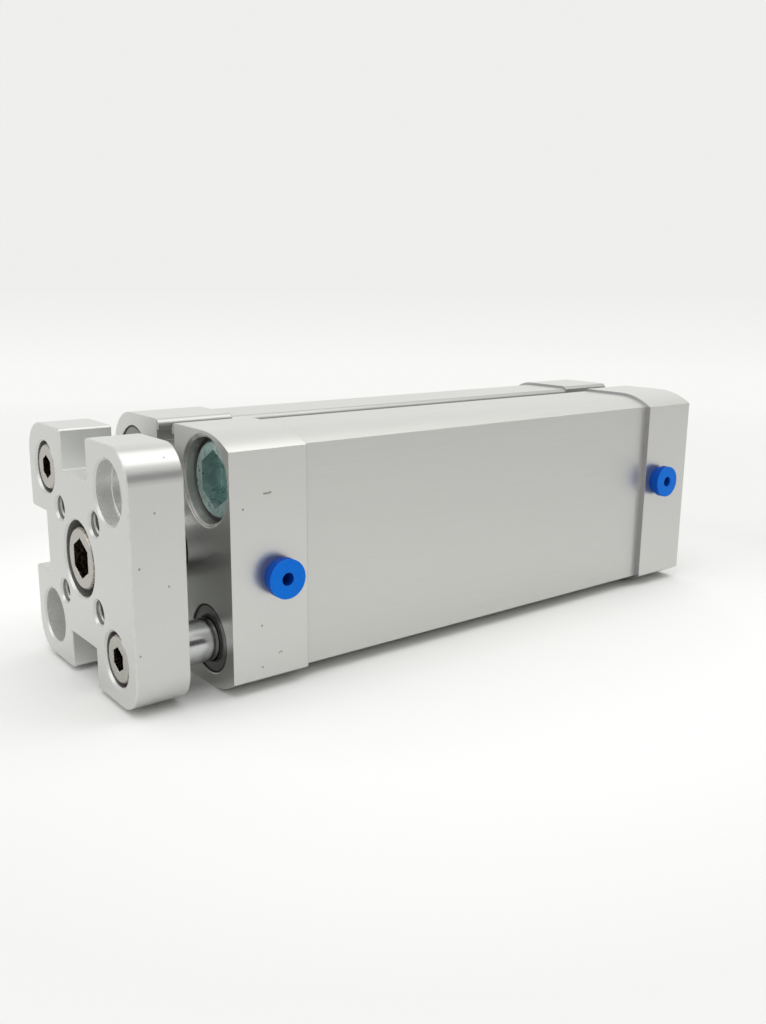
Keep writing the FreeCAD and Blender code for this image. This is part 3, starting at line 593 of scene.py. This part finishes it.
def wind(shape, start, end, root, crest, pitch, y, z):
    """Winds a ridge from start to end along X: its foot is at radius root and its top at radius crest."""
    steps = int(THREAD_SIDES * abs(end - start) / pitch)
    foot, top = FOOT_SHARE * pitch, TOP_SHARE * pitch
    sections = []
    for step in range(steps + 1):
        angle = 2 * math.pi * step / THREAD_SIDES
        x = start + (end - start) * step / steps
        fade = min(1.0, step / THREAD_SIDES, (steps - step) / THREAD_SIDES)
        peak = root + (crest - root) * max(END_SHARE, fade)
        corners = ((x - foot, root), (x - top, peak), (x + top, peak), (x + foot, root))
        sections.append([
            shape.verts.new((along, y + radius * math.cos(angle), z + radius * math.sin(angle)))
            for along, radius in corners
        ])
    for first, second in zip(sections, sections[1:]):
        for corner in range(4):
            after = (corner + 1) % 4
            shape.faces.new((first[corner], first[after], second[after], second[corner]))
    shape.faces.new(sections[0])
    shape.faces.new(sections[-1])


def grooved(points, pitch, depth):
    """A wall's points from its mouth inwards, with a turned groove of a given depth every pitch."""
    wall = []
    for (x0, r0), (x1, r1) in zip(points, points[1:]):
        wall.append((x0, r0))
        run_x, run_r = x1 - x0, r1 - r0
        length = math.hypot(run_x, run_r)
        halves = 2 * int(length / pitch)
        for half in range(1, halves):
            part = half / halves
            push = depth / length if half % 2 else 0.0
            wall.append((x0 + run_x * part + run_r * push, r0 + run_r * part - run_x * push))
    wall.append(points[-1])
    return wall


def lining(wall, thickness, pitch, depth):
    """A closed outline from a hole's wall, with a grooved inner side that is nearer to the axis."""
    steps = [x for (x, _), (next_x, _) in zip(wall, wall[1:]) if x == next_x]
    inner = [(x + thickness if x in steps else x, radius - thickness) for x, radius in wall]
    return grooved(inner, pitch, depth) + wall[::-1]


def mirrored(outline):
    """The same outline at the rear end of the body."""
    return [(2 * BODY_MIDDLE - x, radius) for x, radius in outline]


def turned_piece(name, outline, places, body, finish):
    """A piece that is turned from one closed outline, at each place."""
    shape = bmesh.new()
    for y, z in places:
        turn(shape, outline, y, z)
    piece(name, shape, body, finish)


def access_hole_walls(finish):
    """Bright turned walls in the plate's two holes over the collar screws."""
    upper, lower = FRONT_COLLARS
    stepped = [(PLATE_FACE - depth, radius) for start, end, radius in STEPPED_HOLE for depth in (start, end)]
    plain = [(PLATE_FACE - depth, ACCESS_HOLE_RADIUS) for depth in (LINING_START, LINING_END)]
    for name, wall, place in (("stepped_hole_wall", stepped, upper), ("access_hole_wall", plain, lower)):
        outline = lining(wall, thickness=0.06, pitch=0.3, depth=0.01)
        turned_piece(name, outline, [place], "yoke_slide", finish)


def collar_bore_walls(wall_finish, shade_ring_finish):
    """Turned walls, and a dark ring of painted shade round each collar screw's head, at both ends of the
    body.
    """
    flange = CAP_FACE - COLLAR_FLANGE_DEPTH
    bottom = flange + APART
    wall = lining([(CAP_FACE - 0.04, COLLAR_BORE_RADIUS + COLLAR_MOUTH - 0.01),
                   (CAP_FACE - COLLAR_MOUTH, COLLAR_BORE_RADIUS),
                   (bottom, COLLAR_BORE_RADIUS)], thickness=0.05, pitch=0.22, depth=0.02)
    # A dark ring over the flange, between head and bore: painted shade in the gap round the head.
    head = COLLAR_HEAD_RADIUS + APART
    bore = COLLAR_BORE_RADIUS - 0.08
    ring = [(bottom, head), (flange + 0.45, head), (flange + 0.6, COLLAR_HEAD_RADIUS + 0.2),
            (flange + 0.5, bore), (bottom, bore)]
    ends = (("front", FRONT_COLLARS, wall, ring),
            ("rear", REAR_COLLARS, mirrored(wall), mirrored(ring)))
    for end, places, walls, rings in ends:
        turned_piece(f"{end}_collar_walls", walls, places, "cylinder_body", wall_finish)
        turned_piece(f"{end}_collar_shade_rings", rings, places, "cylinder_body", shade_ring_finish)


def load_hole_threads(finish):
    """The screw threads in the plate's four load holes."""
    root = LOAD_HOLE_RADIUS + APART
    crest = LOAD_HOLE_RADIUS - LOAD_THREAD_HEIGHT
    start = PLATE_FACE - LOAD_THREAD_START
    end = PLATE_BACK + LOAD_THREAD_END
    shape = bmesh.new()
    for y in (-LOAD_HOLE_PLACE, LOAD_HOLE_PLACE):
        for z in (-LOAD_HOLE_PLACE, LOAD_HOLE_PLACE):
            wind(shape, start, end, root, crest, LOAD_THREAD_PITCH, y, z)
    piece("load_hole_threads", shape, "yoke_slide", finish)


def collar_core_threads(finish):
    """The screw threads down the cores of the collar screws, from just past the bottom of each socket."""
    root = COLLAR_CORE_RADIUS + APART
    crest = COLLAR_CORE_RADIUS - CORE_THREAD_HEIGHT
    first = CAP_FACE - COLLAR_HEAD_DEPTH - COLLAR_SOCKET_DEPTH - CORE_THREAD_START
    last = first - CORE_THREAD_LENGTH
    ends = (("front", FRONT_COLLARS, first, last),
            ("rear", REAR_COLLARS, 2 * BODY_MIDDLE - first, 2 * BODY_MIDDLE - last))
    for end, places, start, stop in ends:
        shape = bmesh.new()
        for y, z in places:
            wind(shape, start, stop, root, crest, CORE_THREAD_PITCH, y, z)
        piece(f"{end}_core_threads", shape, "cylinder_body", finish)


def wiper_lips(finish):
    """A rubber lip that closes on each guide rod, and the thin dark ring that holds its case."""
    lip = [(CAP_FACE - back, GUIDE_ROD_RADIUS + outside) for back, outside in LIP]
    holder = [(CAP_FACE - back, GUIDE_WIPER_RADIUS - inside) for back, inside in HOLDER]
    turned_piece("guide_wiper_lips", lip, GUIDES, "cylinder_body", finish)
    turned_piece("guide_wiper_holders", holder, GUIDES, "cylinder_body", finish)


# ---------------------------------------------------------------------------
# Floor, light and camera
# ---------------------------------------------------------------------------

# Tones of the paper under the part and further off, and of the backdrop that it runs into.
PAPER = (0.905, 0.905, 0.89)
OUTER_PAPER = (0.80, 0.80, 0.787)
FAR_PAPER = (0.943, 0.943, 0.927)
BACKDROP = (0.863, 0.863, 0.847)

# Distances from the part's middle over the floor, in metres. The paper's tone changes over PAPER_CHANGE. Its
# shading fades out from LIT_REACH to LIT_END, and from HORIZON_START on it turns into the backdrop.
FLOOR_RADIUS = 9.0
PAPER_CHANGE = (0.06, 0.095)
LIT_REACH = 0.16
LIT_END = 0.34
HORIZON_START = 0.55

# The viewpoint, in millimetres and degrees.
VIEW_PLACE = (156.4, 124.8, 36.2)
VIEW_HEADING = -128.2
VIEW_TILT = -13.02
VIEW_ROLL = 0.57
VIEW_LENS = 34.22
VIEW_SENSOR = 36.0


def seen_directly(tree):
    """1 for what is seen straight, in a reflection or through something, and 0 for light that falls."""
    ray = add(tree, "ShaderNodeLightPath")
    either = add(tree, "ShaderNodeMath", operation="MAXIMUM")
    tree.links.new(ray.outputs["Is Camera Ray"], either.inputs[0])
    tree.links.new(ray.outputs["Is Glossy Ray"], either.inputs[1])
    any_of = add(tree, "ShaderNodeMath", operation="MAXIMUM")
    tree.links.new(either.outputs["Value"], any_of.inputs[0])
    tree.links.new(ray.outputs["Is Transmission Ray"], any_of.inputs[1])
    return any_of.outputs["Value"]


def floor_paper():
    """Matt paper near the part, an even tone further off, and the backdrop's tone towards the horizon."""
    material, tree, shader = new_material("floor_paper", 0.0, 0.9)
    shader.inputs["Specular IOR Level"].default_value = 0.0
    place = add(tree, "ShaderNodeTexCoord")
    reach = add(tree, "ShaderNodeVectorMath", operation="LENGTH")
    tree.links.new(place.outputs["Object"], reach.inputs[0])
    away = reach.outputs["Value"]
    paper_tone = mixed(tree, remap(tree, away, *PAPER_CHANGE), PAPER, OUTER_PAPER)
    tree.links.new(paper_tone, shader.inputs["Base Color"])
    nearness = add(tree, "ShaderNodeMath", operation="DIVIDE", use_clamp=True)
    nearness.inputs[0].default_value = HORIZON_START
    tree.links.new(away, nearness.inputs[1])
    even = add(tree, "ShaderNodeBackground")
    tree.links.new(mixed(tree, nearness.outputs["Value"], BACKDROP, FAR_PAPER), even.inputs["Color"])
    beyond = product(tree, remap(tree, away, LIT_REACH, LIT_END), seen_directly(tree))
    paper = add(tree, "ShaderNodeMixShader")
    tree.links.new(beyond, paper.inputs["Fac"])
    tree.links.new(shader.outputs["BSDF"], paper.inputs[1])
    tree.links.new(even.outputs["Background"], paper.inputs[2])
    tree.links.new(paper.outputs["Shader"], tree.nodes["Material Output"].inputs["Surface"])
    return material


def floor():
    """A disc of pale paper under the part."""
    mesh = bpy.data.meshes.new("floor")
    shape = bmesh.new()
    bmesh.ops.create_circle(shape, cap_ends=True, segments=96, radius=FLOOR_RADIUS)
    shape.to_mesh(mesh)
    shape.free()
    obj = bpy.data.objects.new("floor", mesh)
    obj.location = (CENTRE[0], CENTRE[1], FLOOR_HEIGHT)
    bpy.context.scene.collection.objects.link(obj)
    mesh.materials.append(floor_paper())


def aimed(place, axis):
    """The turn that points an object's axis from a place to the middle of the part."""
    return (Vector(CENTRE) - Vector(place)).to_track_quat(axis, "Y").to_euler()


def softbox(name, place, width, height, radiance):
    """A rectangular lamp of a given radiance, aimed at the part."""
    lamp = bpy.data.lights.new(name, "AREA")
    lamp.shape = "RECTANGLE"
    lamp.size = width
    lamp.size_y = height
    lamp.energy = radiance * math.pi * width * height
    obj = bpy.data.objects.new(name, lamp)
    obj.location = place
    obj.rotation_euler = aimed(place, "-Z")
    obj.visible_camera = False
    bpy.context.scene.collection.objects.link(obj)


def dark_card(place, width, height, tone):
    """A matt dark board that stands beyond the camera, as the unlit side of a room does."""
    mesh = bpy.data.meshes.new("dark_card")
    shape = bmesh.new()
    bmesh.ops.create_grid(shape, x_segments=1, y_segments=1, size=0.5)
    bmesh.ops.scale(shape, vec=(width, height, 1), verts=shape.verts)
    shape.to_mesh(mesh)
    shape.free()
    obj = bpy.data.objects.new("dark_card", mesh)
    obj.location = place
    obj.rotation_euler = aimed(place, "Z")
    obj.visible_camera = False
    bpy.context.scene.collection.objects.link(obj)
    material, tree, shader = new_material("dark_card", 0.0, 0.9)
    shader.inputs["Base Color"].default_value = (tone, tone, tone, 1)
    mesh.materials.append(material)


def surroundings(light_tone):
    """An even room: one tone lights the part, and the backdrop's is seen behind it and in reflections."""
    world = bpy.data.worlds.new("room")
    bpy.context.scene.world = world
    world.use_nodes = True
    tree = world.node_tree
    lighting = tree.nodes["Background"]
    lighting.inputs["Color"].default_value = (light_tone, light_tone, light_tone, 1)
    seen = add(tree, "ShaderNodeBackground")
    seen.inputs["Color"].default_value = (*BACKDROP, 1)
    choice = add(tree, "ShaderNodeMixShader")
    tree.links.new(seen_directly(tree), choice.inputs["Fac"])
    tree.links.new(lighting.outputs["Background"], choice.inputs[1])
    tree.links.new(seen.outputs["Background"], choice.inputs[2])
    tree.links.new(choice.outputs["Shader"], tree.nodes["World Output"].inputs["Surface"])


def camera():
    """The viewpoint: in front, on the port side and a little above."""
    data = bpy.data.cameras.new("view")
    data.sensor_fit = "VERTICAL"
    data.sensor_height = VIEW_SENSOR
    data.lens = VIEW_LENS
    data.clip_start = 0.01
    obj = bpy.data.objects.new("view", data)
    heading, tilt, roll = (math.radians(angle) for angle in (VIEW_HEADING, VIEW_TILT, VIEW_ROLL))
    level = Euler((math.pi / 2 + tilt, 0, heading - math.pi / 2)).to_matrix()
    aim = (level @ Matrix.Rotation(roll, 3, "Z")).to_quaternion()
    obj.matrix_world = Matrix.LocRotScale(Vector(VIEW_PLACE) * MM, aim, None)
    bpy.context.scene.collection.objects.link(obj)
    bpy.context.scene.camera = obj


# ---------------------------------------------------------------------------
# The part, dressed
# ---------------------------------------------------------------------------

zinc = zinc_plate()
dress(extruded_anodised(), "barrel")
dress(machined_anodised(), "bearing_cap", "end_cap")
dress(blasted_anodised(), "yoke_plate")
dress(zinc, "front_collar_screws", "rear_collar_screws")
dress(nickel_plate(), "rod_screw", "guide_rod_screws")
dress(ground_steel(), "piston_rod", "guide_rod_upper", "guide_rod_lower")
dress(plug_plastic(), "front_port_plug", "rear_port_plug")
dress(turned_aluminium(), "piston")
dress(sintered_bronze(), "rod_bush", "guide_bush_upper", "guide_bush_lower")
dress(wiper_case(), "guide_wiper_upper", "guide_wiper_lower")
dress(seal_rubber(), "front_cap_seal", "rear_cap_seal", "front_bumper", "rear_bumper", "rod_wiper",
      "piston_seal_front", "piston_seal_rear")
dress(magnet_compound(), "magnet_ring")
dress(bearing_plastic(), "wear_ring")

access_hole_walls(turned_bore())
collar_bore_walls(turned_counterbore(), shade_ring_black())
load_hole_threads(cut_thread())
collar_core_threads(zinc)
wiper_lips(lip_rubber())

# ---------------------------------------------------------------------------
# The room
# ---------------------------------------------------------------------------

floor()
surroundings(light_tone=0.76)
softbox("overhead", (CENTRE[0], 0.1, 0.75), width=1.1, height=0.7, radiance=1.17)
softbox("edge_light", (-0.55, 0.38, 0.75), width=0.5, height=0.5, radiance=0.8)
softbox("behind", (-0.85, -1.0, 0.75), width=1.6, height=1.2, radiance=0.18)
softbox("front_left", (0.75, -0.15, 0.45), width=0.5, height=0.5, radiance=0.9)
dark_card((-0.65, 1.1, 0.33), width=2.6, height=0.6, tone=0.12)
camera()
bpy.context.scene.view_settings.view_transform = "Standard"
